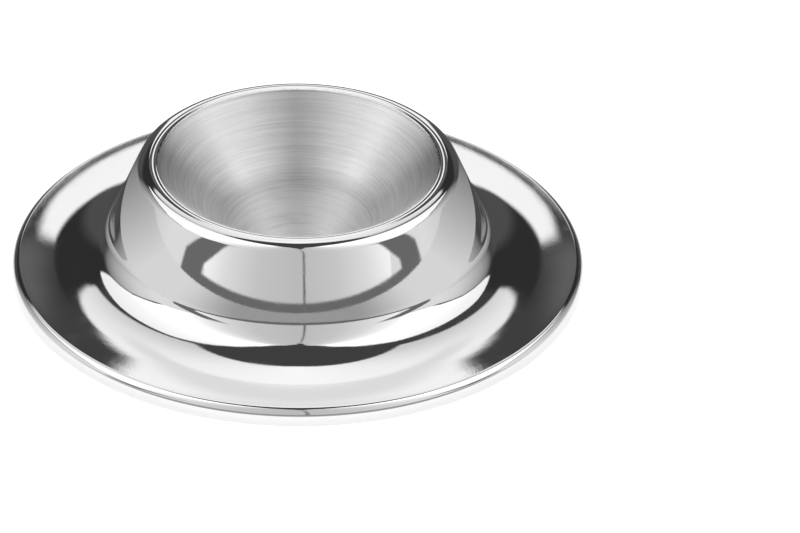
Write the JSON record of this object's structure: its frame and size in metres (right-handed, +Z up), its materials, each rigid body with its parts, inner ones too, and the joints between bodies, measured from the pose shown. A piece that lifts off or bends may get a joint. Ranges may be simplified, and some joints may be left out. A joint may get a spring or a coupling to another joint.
{
  "type": "egg cup",
  "caption": "Low egg cup with a wide round brim: a polished pressed shell with a rolled lip carries a brushed conical well that holds the egg.",
  "frame": {"origin": "on the axis of the cup, at the height of the table that the brim's cut edge rests on", "axes": "+Z up along the axis of the cup; X and Y lie on the table, and the cup is round, so their turn about Z is free"},
  "size_m": [0.085, 0.085, 0.0193],
  "materials": {
    "polished_steel": "mirror-polished stainless steel, bare",
    "brushed_steel": "brushed in circles round the axis"
  },
  "bodies": {
    "root": {"saucer_shell": "polished_steel", "egg_well": "brushed_steel"}
  },
  "joints": []
}
